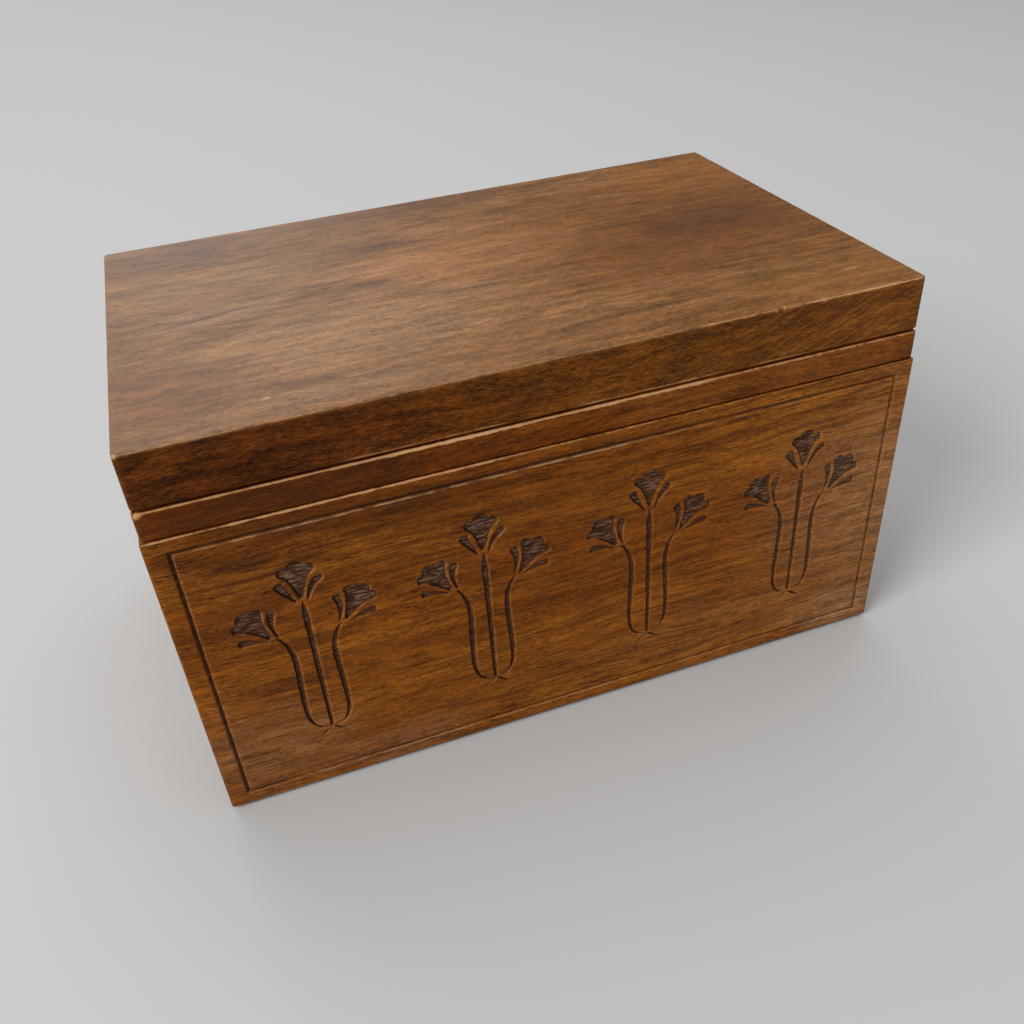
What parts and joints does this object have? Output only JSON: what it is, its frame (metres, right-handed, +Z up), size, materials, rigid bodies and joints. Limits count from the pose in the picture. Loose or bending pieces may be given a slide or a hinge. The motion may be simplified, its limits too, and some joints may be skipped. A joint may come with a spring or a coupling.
{
  "type": "keepsake box",
  "caption": "Low wooden keepsake box: a thick lid on hidden brass butt hinges, and a front carved with tall flower sprigs inside a cut border line.",
  "frame": {"origin": "middle of the box's footprint, on the surface that it stands on", "axes": "+X along the box, to the right for someone who faces the carved front; +Y from the carved front to the hinges; +Z up"},
  "size_m": [0.24, 0.1498, 0.137],
  "materials": {
    "front_wood": "satin oil, dark red-brown, grain along the box",
    "wall_wood": "satin oil, dark red-brown, grain along each board",
    "inner_wood": "matt, unfinished",
    "lid_wood": "satin oil, brown with lighter and darker streaks along the box",
    "rail_wood": "satin oil, dark red-brown, grain along each rail",
    "leaf_brass": "rolled, dull",
    "screw_brass": "plain",
    "pin_brass": "plain"
  },
  "bodies": {
    "body": {"front_panel": "front_wood", "back_panel": "wall_wood", "left_panel": "wall_wood", "right_panel": "wall_wood", "bottom_panel": "inner_wood", "left_hinge_body_leaf": "leaf_brass", "left_hinge_body_leaf_screws": "screw_brass", "left_hinge_pin": "pin_brass", "right_hinge_body_leaf": "leaf_brass", "right_hinge_body_leaf_screws": "screw_brass", "right_hinge_pin": "pin_brass"},
    "lid": {"lid_top_board": "lid_wood", "lid_front_rail": "rail_wood", "lid_back_rail": "rail_wood", "lid_left_rail": "rail_wood", "lid_right_rail": "rail_wood", "left_hinge_lid_leaf": "leaf_brass", "left_hinge_lid_leaf_screws": "screw_brass", "right_hinge_lid_leaf": "leaf_brass", "right_hinge_lid_leaf_screws": "screw_brass"}
  },
  "joints": [
    {"name": "lid_hinge", "type": "hinge", "parent": "body", "child": "lid", "pos_m": [0, 0.0733, 0.10985], "axis": [-1, 0, 0], "range_deg": [0, 100]}
  ]
}
